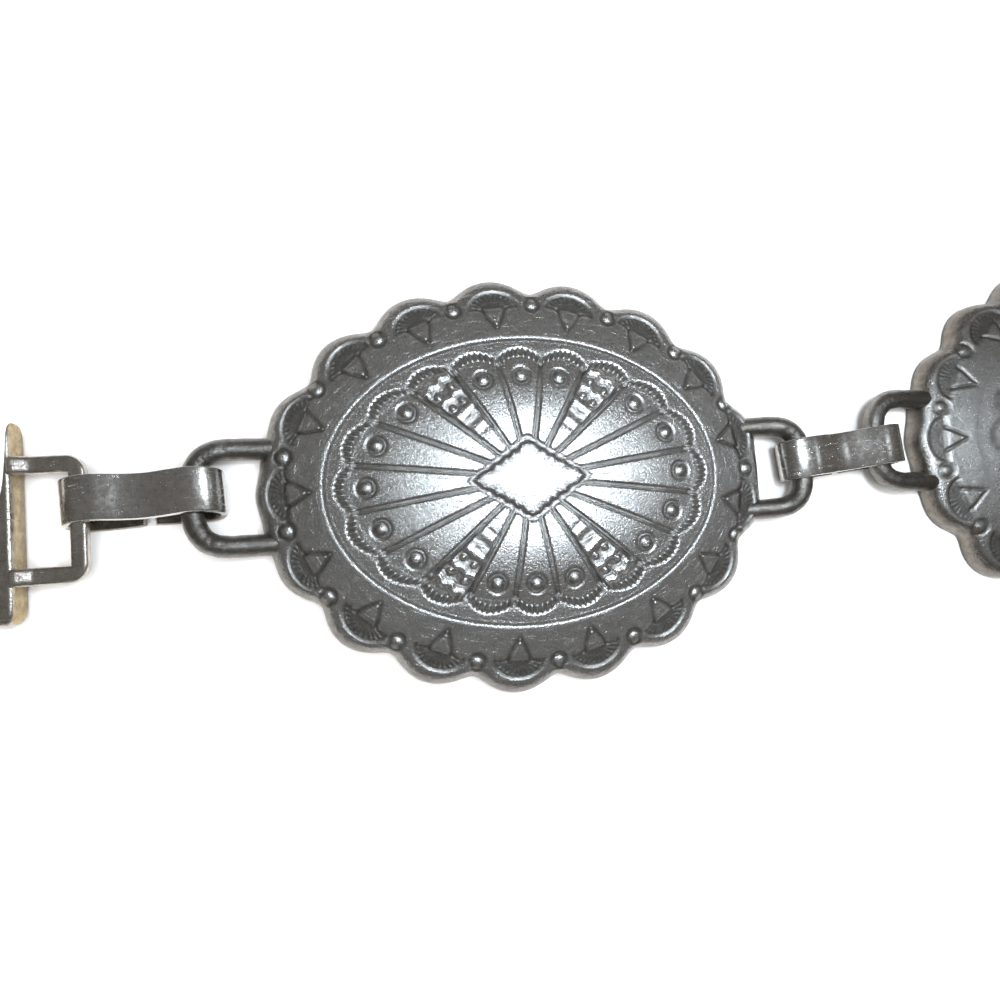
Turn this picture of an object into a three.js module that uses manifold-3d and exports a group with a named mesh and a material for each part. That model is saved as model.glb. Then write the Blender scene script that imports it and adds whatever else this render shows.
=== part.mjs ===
// Concho chain belt: a row of cast oval conchos with scalloped edges, joined by strip links,
// with a plain hook plate at one end. The last concho's free loop is the eye for the hook.
// The belt lies face up. +X runs along the belt from the hook to the last concho,
// +Y is the upper edge as worn, +Z is the front. All lengths are in millimetres.

import * as THREE from 'three';
import { mergeVertices } from 'three/addons/utils/BufferGeometryUtils.js';
import Module from 'manifold-3d';

const wasm = await Module();
wasm.setup();

// The concho, an oval shell, hollow at the back
const conchoCount = 12;
const conchoLength = 51;
const conchoWidth = 41;
const conchoHeight = 5.7;
const borderWidth = 6.3;
const rimHeight = 3.6;
const edgeRounding = 0.55;
const edgeHeight = 1.5;
const lipWidth = 1.5;
const shellThickness = 1.4;

// The scalloped edge
const lobeCount = 17;
const notchDepth = 1.5;
const lobeSpread = 0.036;

// The petals and the diamond boss
const petalCount = 20;
const petalRatio = 0.84;
const channelWidth = 1.15;
const channelDepth = 0.35;
const petalEndRise = 0.45;
const petalNotch = 0.8;
const petalGroove = 0.4;
const bossLength = 10.7;
const bossWidth = 6.8;
const bossRise = 0.4;
const bossBevel = 0.35;

// The wire loops cast on both ends of a concho
const wireDiameter = 2.05;
const loopWidthLeft = 11;
const loopWidthRight = 10.6;
const loopReachLeft = 6.35;
const loopReachRight = 5.05;
const loopNose = 4;
const loopSquareness = 3;
const loopRoot = 2.4;
const wireSides = 6;
const noseSteps = 6;

// The strip links
const stripWidth = 4;
const stripThickness = 0.6;
const linkLength = 14.2;
const linkWaist = 1;
const linkShoulder = 2.9;
const linkTabGap = 1;
const eyePlay = 0.55;
const endPlay = 0.75;
const floorGap = 0.15;

// The hook plate with its square loop
const plateHeight = 17.6;
const plateBar = 1.1;
const plateFlare = 7;
const plateTip = 0.5;
const plateTipCorner = 0.4;
const plateTipSharpness = 30;
const plateFoot = 2;
const plateFootCorner = 0.8;
const plateFootSharpness = 2;
const squareLoopHeight = 11.4;
const squareLoopReach = 6.1;
const squareLoopRise = 0.25;
const squareLoopRoot = 0.5;
const squareLoopArm = 1.6;
const squareLoopBar = 1.5;
const squareLoopThickness = 1.5;
const squareLoopCorner = 2;
const hookWidth = 4.4;
const hookThickness = 1.7;
const hookGape = 2.7;
const hookShank = 4.5;
const hookTip = 3.6;

// How each concho and the link before it lie on the table, from the hook end:
// turn and linkTurn are degrees about Z, roll is the link's tilt about its own length,
// slackA and slackB are how much farther than endPlay the bars before and after the link stay
// off its ends, and slideA and slideB are how far the link sits off the middles of those bars.
const lay = [
  { turn: 0, linkTurn: 0.7, roll: 3.5, slackA: -0.12, slackB: 0.25, slideA: 1.5, slideB: 0.45 },
  { turn: -1.5, linkTurn: 5.4, roll: 0.5, slackA: 0.5, slackB: 0.1, slideA: 0.65, slideB: -0.7 },
  { turn: 1, linkTurn: -2.5, roll: 0, slackA: 0.05, slackB: 0.05, slideA: 0.1, slideB: 0.1 },
  { turn: -0.8, linkTurn: -1.5, roll: 1, slackA: 0.1, slackB: 0.1, slideA: -0.1, slideB: 0.2 },
  { turn: -1.2, linkTurn: 0.4, roll: 0, slackA: 0.1, slackB: 0.1, slideA: 0.2, slideB: 0.1 },
  { turn: 0.6, linkTurn: -2.5, roll: -1, slackA: 0.1, slackB: 0.1, slideA: -0.2, slideB: 0.1 },
  { turn: 1.3, linkTurn: 1.5, roll: 0, slackA: 0.05, slackB: 0.05, slideA: 0.1, slideB: -0.1 },
  { turn: -0.4, linkTurn: 2, roll: 1, slackA: 0.1, slackB: 0.2, slideA: 0.2, slideB: 0.1 },
  { turn: 0.9, linkTurn: -1.5, roll: 0, slackA: 0.05, slackB: 0.05, slideA: -0.2, slideB: 0.1 },
  { turn: -1.1, linkTurn: 1, roll: -1, slackA: 0.1, slackB: 0.1, slideA: 0.1, slideB: -0.2 },
  { turn: 0.4, linkTurn: -1.5, roll: 0, slackA: 0.1, slackB: 0.1, slideA: 0.1, slideB: 0.1 },
  { turn: 1.2, linkTurn: 1.6, roll: 1, slackA: 0.1, slackB: 0.1, slideA: -0.1, slideB: 0.1 },
];

const wireRadius = wireDiameter / 2;
const linkHeight = wireDiameter + 2 * eyePlay + 2 * stripThickness;
const barHeight = floorGap + linkHeight / 2;
const wireSpread = 1.1;
const halfLength = conchoLength / 2;
const halfWidth = conchoWidth / 2;

const castMetal = { color: 0x77777a, roughness: 0.3, metalness: 1 };
const stripMetal = { color: 0x8a8a88, roughness: 0.25, metalness: 1 };
const plateMetal = { color: 0x6b6a66, roughness: 0.25, metalness: 1 };

// A point of the ellipse that lies a given distance inside the concho's outer oval,
// at a parameter angle measured like a polar one.
function ovalPoint(inset, angle, height) {
  const x = (halfLength - inset) * Math.cos(angle);
  const y = (halfWidth - inset) * Math.sin(angle);
  return new THREE.Vector3(x, y, height);
}

// The same ellipse, met by a straight line from the centre in a given direction.
function ovalAlong(inset, direction, height) {
  const across = Math.cos(direction) / (halfLength - inset);
  const up = Math.sin(direction) / (halfWidth - inset);
  const reach = 1 / Math.hypot(across, up);
  return new THREE.Vector3(reach * Math.cos(direction), reach * Math.sin(direction), height);
}

// The boss's diamond, made larger by a margin, met by a line from the centre.
function diamondAlong(margin, direction, height) {
  const across = Math.abs(Math.cos(direction)) / (bossLength / 2 + margin);
  const up = Math.abs(Math.sin(direction)) / (bossWidth / 2 + margin);
  const reach = 1 / (across + up);
  return new THREE.Vector3(reach * Math.cos(direction), reach * Math.sin(direction), height);
}

// The outer edge: one lobe is centred on the left end, and notches lie between the lobes.
// place runs from -1 at one notch through 0 at the lobe's middle to 1 at the next notch.
function lobeAngle(lobe, place) {
  const even = Math.PI + (2 * Math.PI * (lobe + place / 2)) / lobeCount;
  return even + lobeSpread * Math.sin(2 * even);
}

function lobeInset(place) {
  return (notchDepth * (place ** 2 - 0.25 * place ** 8)) / 0.75;
}

function lobeRing(places, inset, follow, height) {
  const points = [];
  for (let lobe = 0; lobe < lobeCount; lobe += 1) {
    for (const place of places) {
      points.push(ovalPoint(inset + follow * lobeInset(place), lobeAngle(lobe, place), height));
    }
  }
  return points;
}

// Directions of the petals' middles and of the grooves between them.
function petalDirection(step) {
  const even = (Math.PI * step) / petalCount;
  return Math.atan2(petalRatio * Math.sin(even), Math.cos(even));
}

function petalRing() {
  const points = [];
  const crestHeight = rimHeight - channelDepth + petalEndRise;
  for (let step = 0; step < 2 * petalCount; step += 1) {
    const isGroove = step % 2 === 1;
    const inset = borderWidth + channelWidth + (isGroove ? petalNotch : 0);
    const height = crestHeight - (isGroove ? petalGroove : 0);
    points.push(ovalAlong(inset, petalDirection(step), height));
  }
  return points;
}

function petalRootRing() {
  const points = [];
  for (let step = 0; step < petalCount; step += 1) {
    points.push(diamondAlong(bossBevel, petalDirection(2 * step), conchoHeight - bossRise));
  }
  return points;
}

function bossRing(margin, height) {
  return [0, 1, 2, 3].map((quarter) => diamondAlong(margin, (quarter * Math.PI) / 2, height));
}

function roofRing(count, inset, height) {
  const points = [];
  for (let step = 0; step < count; step += 1) {
    points.push(ovalPoint(inset, (2 * Math.PI * (step + 0.5)) / count, height));
  }
  return points;
}

// A ring of points in the order of their turn about the axis, each with its turn.
function byAngle(points) {
  const full = 2 * Math.PI;
  const turned = points.map((point) => ({ point, turn: (Math.atan2(point.y, point.x) + full) % full }));
  return turned.sort((a, b) => a.turn - b.turn);
}

// A ring of points in the order given, with even turns.
function byOrder(points) {
  return points.map((point, index) => ({ point, turn: (2 * Math.PI * index) / points.length }));
}

// Joins a row of rings into one closed solid. Neighbouring rings may differ in their number
// of points: each step goes forward on the ring whose next point comes first.
// The first and the last ring are closed with a fan.
function loft(rings) {
  const corners = [];
  const starts = rings.map((ring) => {
    const start = corners.length / 3;
    ring.forEach(({ point }) => corners.push(point.x, point.y, point.z));
    return start;
  });
  const faces = [];
  const turnAt = (ring, index) => ring[index % ring.length].turn + (index >= ring.length ? 2 * Math.PI : 0);
  for (let row = 0; row + 1 < rings.length; row += 1) {
    const near = rings[row];
    const far = rings[row + 1];
    const nearAt = (index) => starts[row] + (index % near.length);
    const farAt = (index) => starts[row + 1] + (index % far.length);
    let i = 0;
    let j = 0;
    while (i < near.length || j < far.length) {
      const nearNext = i < near.length ? turnAt(near, i + 1) : Infinity;
      const farNext = j < far.length ? turnAt(far, j + 1) : Infinity;
      if (farNext <= nearNext) {
        faces.push(nearAt(i), farAt(j), farAt(j + 1));
        j += 1;
      } else {
        faces.push(nearAt(i), farAt(j), nearAt(i + 1));
        i += 1;
      }
    }
  }
  const last = rings.length - 1;
  for (let i = 1; i + 1 < rings[0].length; i += 1) {
    faces.push(starts[0], starts[0] + i, starts[0] + i + 1);
  }
  for (let i = 1; i + 1 < rings[last].length; i += 1) {
    faces.push(starts[last], starts[last] + i + 1, starts[last] + i);
  }
  const geometry = new THREE.BufferGeometry();
  geometry.setAttribute('position', new THREE.Float32BufferAttribute(corners, 3));
  geometry.setIndex(faces);
  return geometry;
}

function toSolid(geometry) {
  const bare = geometry.clone();
  bare.deleteAttribute('normal');
  bare.deleteAttribute('uv');
  const merged = mergeVertices(bare);
  const vertProperties = new Float32Array(merged.attributes.position.array);
  const triVerts = new Uint32Array(merged.index.array);
  return new wasm.Manifold(new wasm.Mesh({ numProp: 3, vertProperties, triVerts }));
}

function fromSolid(solid) {
  const mesh = solid.getMesh();
  const geometry = new THREE.BufferGeometry();
  geometry.setAttribute('position', new THREE.BufferAttribute(mesh.vertProperties, 3));
  geometry.setIndex(new THREE.BufferAttribute(mesh.triVerts, 1));
  return geometry;
}

function fuse(geometries) {
  const solids = geometries.map(toSolid);
  return fromSolid(solids.reduce((whole, piece) => whole.add(piece)));
}

// The shell: from the boss outwards over the front, round the edge, and back up inside.
function conchoShell() {
  const lobePlaces = [-1, -0.6, 0, 0.6];
  const halfPlaces = [-1, 0];
  const rings = [
    bossRing(-bossBevel, conchoHeight),
    bossRing(0, conchoHeight - bossRise / 2),
    petalRootRing(),
    petalRing(),
    lobeRing(halfPlaces, borderWidth, 0, rimHeight),
    lobeRing(halfPlaces, edgeRounding, 1, edgeHeight),
    lobeRing(lobePlaces, 0, 1, 0),
    lobeRing(halfPlaces, lipWidth, 1, 0),
    roofRing(lobeCount, borderWidth + shellThickness / 2, rimHeight - shellThickness),
    roofRing(8, halfWidth / 2 + borderWidth / 2, conchoHeight - 1.25 * shellThickness),
  ];
  return loft(rings.map(byAngle));
}

// A hexagonal wire along a path that lies nearly level.
function wire(path) {
  const rings = path.map((point, index) => {
    const before = path[Math.max(index - 1, 0)];
    const after = path[Math.min(index + 1, path.length - 1)];
    const along = after.clone().sub(before).normalize();
    const aside = along.clone().cross(new THREE.Vector3(0, 0, 1)).normalize();
    const upward = aside.clone().cross(along);
    const corners = [];
    for (let side = 0; side < wireSides; side += 1) {
      const angle = (2 * Math.PI * side) / wireSides;
      const out = aside.clone().multiplyScalar(wireSpread * wireRadius * Math.cos(angle));
      const up = upward.clone().multiplyScalar((wireRadius * Math.sin(angle)) / Math.sin(Math.PI / 3));
      corners.push(point.clone().add(out).add(up));
    }
    return byOrder(corners);
  });
  return loft(rings);
}

// How far the loop's end has drawn back from its farthest point at a given distance off its middle.
function noseDrop(offset, width) {
  const halfSpan = width / 2 - wireRadius;
  const share = Math.min(Math.abs(offset) / halfSpan, 1);
  return loopNose * (1 - (1 - share ** loopSquareness) ** (1 / loopSquareness));
}

// A loop: two arms out of the shell and a squared-off round end, rising to the bar's height.
function conchoLoop(side, reach, width) {
  const halfSpan = width / 2 - wireRadius;
  const farX = halfLength + reach - wireRadius;
  const armX = farX - loopNose;
  const rootX = Math.min(halfLength - loopRoot, armX - wireRadius);
  const rise = (x) => {
    const share = THREE.MathUtils.clamp((x - rootX) / (farX - loopNose / 2 - rootX), 0, 1);
    return wireRadius + share * (barHeight - wireRadius);
  };
  const path = [];
  const add = (x, y) => path.push(new THREE.Vector3(side * x, side * y, rise(x)));
  add(rootX, -halfSpan);
  for (let step = 0; step <= noseSteps; step += 1) {
    const angle = (Math.PI * step) / noseSteps - Math.PI / 2;
    const power = 2 / loopSquareness;
    const along = Math.abs(Math.cos(angle)) ** power;
    const aside = Math.sign(Math.sin(angle)) * Math.abs(Math.sin(angle)) ** power;
    add(armX + loopNose * along, halfSpan * aside);
  }
  add(rootX, halfSpan);
  return wire(path);
}

function concho() {
  const leftLoop = conchoLoop(-1, loopReachLeft, loopWidthLeft);
  const rightLoop = conchoLoop(1, loopReachRight, loopWidthRight);
  return fuse([conchoShell(), leftLoop, rightLoop]);
}

// A strip seen from its edge: the outline of a polyline with a thickness, squared at both ends.
function stripShape(path, thickness) {
  const left = [];
  const right = [];
  path.forEach((point, index) => {
    const before = path[Math.max(index - 1, 0)];
    const after = path[Math.min(index + 1, path.length - 1)];
    const into = point.clone().sub(before);
    const outOf = after.clone().sub(point);
    const along = into.normalize().add(outOf.normalize()).normalize();
    const bend = index > 0 && index + 1 < path.length ? into.dot(along) : 1;
    const aside = new THREE.Vector2(-along.y, along.x).multiplyScalar(thickness / 2 / bend);
    left.push(point.clone().add(aside));
    right.unshift(point.clone().sub(aside));
  });
  return new THREE.Shape([...left, ...right]);
}

// A flat shape drawn along X and Z, given a width along Y about the middle.
function acrossBelt(shape, width) {
  const geometry = new THREE.ExtrudeGeometry(shape, { depth: width, bevelEnabled: false });
  geometry.rotateX(Math.PI / 2);
  geometry.translate(0, width / 2, 0);
  return geometry;
}

// The link: a strip bent into two eyes, with its ends meeting at the back and a waist in front.
function link() {
  const eyeRadius = (linkHeight - stripThickness) / 2;
  const eyeX = linkLength / 2 - linkHeight / 2;
  const half = [new THREE.Vector2(linkTabGap / 2, -eyeRadius)];
  for (const turn of [-67.5, -22.5, 22.5, 67.5]) {
    const angle = THREE.MathUtils.degToRad(turn);
    const reach = eyeRadius / Math.cos(Math.PI / 8);
    half.push(new THREE.Vector2(eyeX + reach * Math.cos(angle), reach * Math.sin(angle)));
  }
  half.push(new THREE.Vector2(linkShoulder, eyeRadius));
  const waist = new THREE.Vector2(0, eyeRadius - linkWaist);
  const mirrored = half.map((point) => new THREE.Vector2(-point.x, point.y)).reverse();
  return acrossBelt(stripShape([...half, waist, ...mirrored], stripThickness), stripWidth);
}

// One half of the plate's outline, from its straight side over a round corner to the hook's shank.
// base is the end's width there, and the sharper the flare, the sooner it narrows to the shank.
function plateHalf(base, corner, sharpness) {
  const halfHeight = plateHeight / 2;
  const points = [];
  for (const turn of [0, 45, 90]) {
    const angle = THREE.MathUtils.degToRad(turn);
    const x = corner * (Math.cos(angle) - 1);
    const y = halfHeight - corner * (1 - Math.sin(angle));
    points.push(new THREE.Vector2(x, y));
  }
  for (const share of [0, 0.02, 0.05, 0.1, 0.22, 0.45, 1]) {
    const x = -base - share * (plateBar + plateFlare - base);
    const y = hookWidth / 2 + (halfHeight - hookWidth / 2) * (1 - share) ** sharpness;
    points.push(new THREE.Vector2(x, y));
  }
  return points;
}

// The plate's outline: a crossbar with a slim upper end and a broad foot, which narrows to the shank.
function plateOutline() {
  const upper = plateHalf(plateTip, plateTipCorner, plateTipSharpness);
  const lower = plateHalf(plateFoot, plateFootCorner, plateFootSharpness);
  const flipped = lower.map((point) => new THREE.Vector2(point.x, -point.y)).reverse();
  return new THREE.Shape([...upper, ...flipped.slice(1)]);
}

// The square loop: a U of flat wire whose arms run into the plate.
function squareLoopOutline() {
  const halfHeight = squareLoopHeight / 2;
  const outer = [new THREE.Vector2(-squareLoopRoot, halfHeight)];
  for (const turn of [90, 60, 30, 0]) {
    const angle = THREE.MathUtils.degToRad(turn);
    const x = squareLoopReach - squareLoopCorner * (1 - Math.cos(angle));
    const y = halfHeight - squareLoopCorner * (1 - Math.sin(angle));
    outer.push(new THREE.Vector2(x, y));
  }
  const inner = [
    new THREE.Vector2(squareLoopReach - squareLoopBar, halfHeight - squareLoopArm),
    new THREE.Vector2(-squareLoopRoot, halfHeight - squareLoopArm),
  ];
  const flip = (point) => new THREE.Vector2(point.x, -point.y);
  const lowerOuter = outer.map(flip).reverse();
  const lowerInner = inner.map(flip).reverse();
  return new THREE.Shape([...outer, ...lowerOuter, ...lowerInner, ...inner]);
}

// The hook: a shank that rises from the plate, turns over and comes back below.
function hook() {
  const radius = (hookGape + hookThickness) / 2;
  const low = hookThickness / 2;
  const turnX = -(plateBar + plateFlare + hookShank);
  const path = [
    new THREE.Vector2(-plateBar / 2, plateThickness - low),
    new THREE.Vector2(-(plateBar + plateFlare * 0.55), plateThickness - low),
    new THREE.Vector2(turnX + hookShank * 0.3, low + 2 * radius),
  ];
  for (const turn of [90, 126, 162, 198, 234, 270]) {
    const angle = THREE.MathUtils.degToRad(turn);
    path.push(new THREE.Vector2(turnX + radius * Math.cos(angle), low + radius * (1 + Math.sin(angle))));
  }
  path.push(new THREE.Vector2(turnX + hookTip, low));
  return acrossBelt(stripShape(path, hookThickness), hookWidth);
}

const plateThickness = barHeight + squareLoopThickness / 2;

function hookPlate() {
  const plate = new THREE.ExtrudeGeometry(plateOutline(), { depth: plateThickness, bevelEnabled: false });
  const loopSettings = { depth: squareLoopThickness, bevelEnabled: false };
  const squareLoop = new THREE.ExtrudeGeometry(squareLoopOutline(), loopSettings);
  squareLoop.translate(0, squareLoopRise, barHeight - squareLoopThickness / 2);
  return fuse([plate, squareLoop, hook()]);
}

function named(name, geometry, finish) {
  const mesh = new THREE.Mesh(geometry, new THREE.MeshStandardMaterial(finish));
  mesh.name = name;
  return mesh;
}

// A vector of the belt's plane, turned about Z.
function turned(x, y, degrees) {
  return new THREE.Vector3(x, y, 0).applyAxisAngle(new THREE.Vector3(0, 0, 1), THREE.MathUtils.degToRad(degrees));
}

// The belt is laid out piece by piece from the plate: each link starts on the bar before it,
// and each concho hangs its left bar in the link's far eye.
function belt() {
  const group = new THREE.Group();
  const plateMesh = named('hook_plate', hookPlate(), plateMetal);
  group.add(plateMesh);
  const linkReach = linkLength / 2 - stripThickness - endPlay;
  const wireHalf = wireSpread * wireRadius;
  let barFrom = squareLoopBar / 2;
  let cursor = turned(squareLoopReach - barFrom, squareLoopRise + lay[0].slideA, 0);
  for (let index = 0; index < conchoCount; index += 1) {
    const row = lay[index % lay.length];
    const label = String(index + 1).padStart(2, '0');
    const linkMesh = named(`link_${label}`, link(), stripMetal);
    const linkCentre = cursor.clone().add(turned(linkReach - barFrom - row.slackA, 0, row.linkTurn));
    linkMesh.rotation.set(THREE.MathUtils.degToRad(row.roll), 0, THREE.MathUtils.degToRad(row.linkTurn), 'ZYX');
    linkMesh.position.set(linkCentre.x, linkCentre.y, barHeight);
    group.add(linkMesh);
    const farBar = linkCentre.clone().add(turned(linkReach - wireHalf - row.slackB, 0, row.linkTurn));
    const leftBar = -(halfLength + loopReachLeft - wireRadius) + noseDrop(row.slideB, loopWidthLeft);
    const conchoMesh = named(`concho_${label}`, concho(), castMetal);
    conchoMesh.position.copy(farBar.clone().sub(turned(leftBar, row.slideB, row.turn)));
    conchoMesh.rotation.z = THREE.MathUtils.degToRad(row.turn);
    group.add(conchoMesh);
    const next = lay[(index + 1) % lay.length];
    const rightBar = halfLength + loopReachRight - wireRadius - noseDrop(next.slideA, loopWidthRight);
    cursor = conchoMesh.position.clone().add(turned(rightBar, next.slideA, row.turn));
    barFrom = wireHalf;
  }
  return group;
}

// The finished belt stands with its lowest point at zero and its middle over the origin.
const chain = belt();
const box = new THREE.Box3().setFromObject(chain, true);
const middle = box.getCenter(new THREE.Vector3());
chain.position.set(-middle.x, -middle.y, -box.min.z);
const group = new THREE.Group();
group.add(chain);

export default group;
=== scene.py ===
"""Concho chain belt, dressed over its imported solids: chased cast conchos, strip links and a hook plate.

Lengths in this file are millimetres until a mesh is made, and the belt's frame is the part's:
+X along the belt from the hook, +Y towards the upper edge as worn, +Z out of the fronts.
"""

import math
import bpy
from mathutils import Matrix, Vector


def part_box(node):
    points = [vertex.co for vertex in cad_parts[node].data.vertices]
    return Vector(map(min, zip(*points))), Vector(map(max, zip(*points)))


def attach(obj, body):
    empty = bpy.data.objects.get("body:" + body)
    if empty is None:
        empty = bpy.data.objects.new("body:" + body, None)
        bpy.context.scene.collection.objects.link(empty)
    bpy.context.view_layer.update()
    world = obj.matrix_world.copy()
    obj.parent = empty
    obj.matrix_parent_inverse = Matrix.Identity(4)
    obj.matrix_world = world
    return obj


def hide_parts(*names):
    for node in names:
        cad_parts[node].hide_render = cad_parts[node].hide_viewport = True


bl_info = {
    "name": "Concho Chain Belt",
    "version": (1, 0, 0),
    "blender": (4, 5, 0),
    "location": "View3D > Sidebar > Concho Belt",
    "description": "Builds the chased surface of a concho chain belt over its solids",
    "category": "Add Mesh",
}

import bpy
import numpy as np
from bpy.props import FloatProperty, FloatVectorProperty, IntProperty, PointerProperty
from mathutils import Matrix, Vector

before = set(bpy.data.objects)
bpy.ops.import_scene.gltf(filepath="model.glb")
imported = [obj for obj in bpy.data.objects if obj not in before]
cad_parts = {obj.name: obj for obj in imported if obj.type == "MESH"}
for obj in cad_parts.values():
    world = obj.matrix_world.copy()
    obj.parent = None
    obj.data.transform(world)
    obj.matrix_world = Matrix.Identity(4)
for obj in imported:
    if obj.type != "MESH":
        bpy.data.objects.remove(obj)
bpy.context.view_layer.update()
MM = 0.001
TAU = 2 * np.pi

CONCHOS = sorted(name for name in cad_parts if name.startswith("concho_"))
LINKS = sorted(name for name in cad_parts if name.startswith("link_"))

# How each concho and the link before it lie, as in the part: turns are degrees about Z, roll is
# about the link's own length, slack is how far a bar stays off the link's end beyond its play, and
# the two slides are along the bars before and after the link.
LAY = np.array(
    [
        # turn, link_turn, roll, slack_a, slack_b, slide_a, slide_b
        (0.0, 0.7, 3.5, -0.12, 0.25, 1.5, 0.45),
        (-1.5, 5.4, 0.5, 0.5, 0.1, 0.65, -0.7),
        (1.0, -2.5, 0.0, 0.05, 0.05, 0.1, 0.1),
        (-0.8, -1.5, 1.0, 0.1, 0.1, -0.1, 0.2),
        (-1.2, 0.4, 0.0, 0.1, 0.1, 0.2, 0.1),
        (0.6, -2.5, -1.0, 0.1, 0.1, -0.2, 0.1),
        (1.3, 1.5, 0.0, 0.05, 0.05, 0.1, -0.1),
        (-0.4, 2.0, 1.0, 0.1, 0.2, 0.2, 0.1),
        (0.9, -1.5, 0.0, 0.05, 0.05, -0.2, 0.1),
        (-1.1, 1.0, -1.0, 0.1, 0.1, 0.1, -0.2),
        (0.4, -1.5, 0.0, 0.1, 0.1, 0.1, 0.1),
        (1.2, 1.6, 1.0, 0.1, 0.1, -0.1, 0.1),
    ]
)

# Steps across each of the four banded petals, by distance from the concho's centre: a step rises
# outwards over its width, which turns it to the light, and falls back slowly behind it.
STEPS = np.array(
    [
        # at, half_width, height, wave
        (5.90, 0.07, 0.05, 0.06),
        (6.55, 0.28, 0.13, 0.00),
        (7.70, 0.07, 0.05, 0.10),
        (8.00, 0.08, 0.06, 0.10),
        (8.50, 0.26, 0.18, 0.00),
        (10.05, 0.07, 0.05, 0.12),
        (10.42, 0.19, 0.20, 0.12),
        (11.85, 0.07, 0.05, 0.13),
        (12.25, 0.24, 0.27, 0.13),
    ]
)
STEP_BEADS = np.array(
    [
        # at, aside, radius
        (9.70, 0.60, 0.34),
        (11.38, 0.84, 0.36),
    ]
)


def millimetres(name, default, description):
    """A length in millimetres as a property."""
    return FloatProperty(name=name, description=f"{description}, in millimetres", default=default)


def tint(name, default, description):
    """A colour as a property."""
    return FloatVectorProperty(name=name, description=description, subtype="COLOR_GAMMA", default=default)


class ConchoSizes(bpy.types.PropertyGroup):
    """The concho's sizes that a maker would change."""

    half_length: millimetres("Half Length", 25.5, "From the middle to the end lobe's edge")
    half_width: millimetres("Half Width", 20.5, "From the middle to the side lobes' edge")
    notch: millimetres("Notch", 1.4, "Depth of the notches between lobes")
    fine_around: IntProperty(name="Fine Steps", description="Steps round the near border", default=1160)
    plain_around: IntProperty(name="Plain Steps", description="Steps round a far concho", default=260)


class LoopSizes(bpy.types.PropertyGroup):
    """The cast wire loops and the strip links between them."""

    wire: millimetres("Wire", 2.05, "Diameter of the loops' wire")
    width_left: millimetres("Left Width", 11.0, "Outer width of a left loop")
    width_right: millimetres("Right Width", 10.6, "Outer width of a right loop")
    reach_left: millimetres("Left Reach", 6.35, "From the concho's edge to its left loop's end")
    reach_right: millimetres("Right Reach", 5.05, "From the concho's edge to its right loop's end")
    link_length: millimetres("Link Length", 14.2, "Outer length of a link")
    strip_width: millimetres("Strip Width", 4.0, "Width of a link's strip")
    strip: millimetres("Strip", 0.6, "Thickness of a link's strip")


class MetalColours(bpy.types.PropertyGroup):
    """Colours of the cast metal."""

    # The dark colour also paints shade on undersides. The last colour is a painted brown reflection and
    # painted shade on sides that face down.
    bright: tint("Bright", (0.82, 0.82, 0.82), "Rubbed high parts")
    dark: tint("Dark", (0.53, 0.52, 0.51), "Dulled recesses")
    worn: tint("Worn", (0.44, 0.4, 0.35), "Edges where the plating has browned")


# Layout: the same walk along the belt as in the part.

NOSE = 4.0
SQUARENESS = 3.0
END_PLAY = 0.75
BAR_SPREAD = 1.1
SQUARE_REACH = 6.1
SQUARE_BAR = 1.5
SQUARE_RISE = 0.25
BAR_HEIGHT = 2.325


def turn(degrees):
    """Two by two matrix of a turn about Z."""
    c, s = math.cos(math.radians(degrees)), math.sin(math.radians(degrees))
    return np.array([[c, -s], [s, c]])


def nose_drop(offset, half_span):
    """How far a loop's end lies behind its farthest point: a superellipse's fall at that offset."""
    share = min(abs(offset) / half_span, 1)
    return NOSE * (1 - (1 - share**SQUARENESS) ** (1 / SQUARENESS))


def walk(sizes, loops):
    """Centres of the plate, the links and the conchos, each link hung on the bar before it."""
    low, high = (np.array(v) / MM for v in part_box("hook_plate"))
    plate = np.array([high[0] - SQUARE_REACH, (low[1] + high[1]) / 2])
    radius = loops.wire / 2
    left_span, right_span = loops.width_left / 2 - radius, loops.width_right / 2 - radius
    reach = loops.link_length / 2 - loops.strip - END_PLAY
    bar_from = SQUARE_BAR / 2
    cursor = plate + (SQUARE_REACH - bar_from, SQUARE_RISE + LAY[0, 5])
    links, conchos = [], []
    for row, (yaw, link_yaw, roll, slack_a, slack_b, _, slide_b) in enumerate(LAY):
        centre = cursor + turn(link_yaw) @ (reach - bar_from - slack_a, 0)
        links.append((centre, link_yaw, roll))
        far = centre + turn(link_yaw) @ (reach - BAR_SPREAD * radius - slack_b, 0)
        left = -(sizes.half_length + loops.reach_left - radius) + nose_drop(slide_b, left_span)
        middle = far - turn(yaw) @ (left, slide_b)
        conchos.append((middle, yaw))
        slide_a = LAY[(row + 1) % len(LAY), 5]
        right = sizes.half_length + loops.reach_right - radius - nose_drop(slide_a, right_span)
        cursor = middle + turn(yaw) @ (right, slide_a)
        bar_from = BAR_SPREAD * radius
    return plate, links, conchos


# Mesh making.


def join(*arrays):
    """Arrays one after another."""
    return np.concatenate(arrays)


def pair(*arrays):
    """Arrays side by side, as a new last axis."""
    return np.stack(arrays, -1)


def raised(plan, height):
    """Points of a plan at their heights."""
    return np.concatenate([plan, height[..., None]], -1)


def grid_faces(rows, columns, closed=False, caps=False):
    """Quads of a grid whose columns close on themselves. closed joins the last row to the first;
    caps adds a fan to one extra point at each end, which follow the grid's points in order."""
    row = np.arange(rows if closed else rows - 1)[:, None]
    column = np.arange(columns)[None, :]
    here = row * columns
    there = ((row + 1) % rows) * columns
    after = (column + 1) % columns
    quads = pair(here + column, there + column, there + after, here + after).reshape(-1, 4)
    if not caps:
        return quads, np.zeros((0, 3), int)
    ring = np.arange(columns)
    step = (ring + 1) % columns
    first = pair(ring, step, np.full(columns, rows * columns))
    last_row = (rows - 1) * columns
    last = pair(last_row + step, last_row + ring, np.full(columns, rows * columns + 1))
    return quads, join(first, last)


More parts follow.
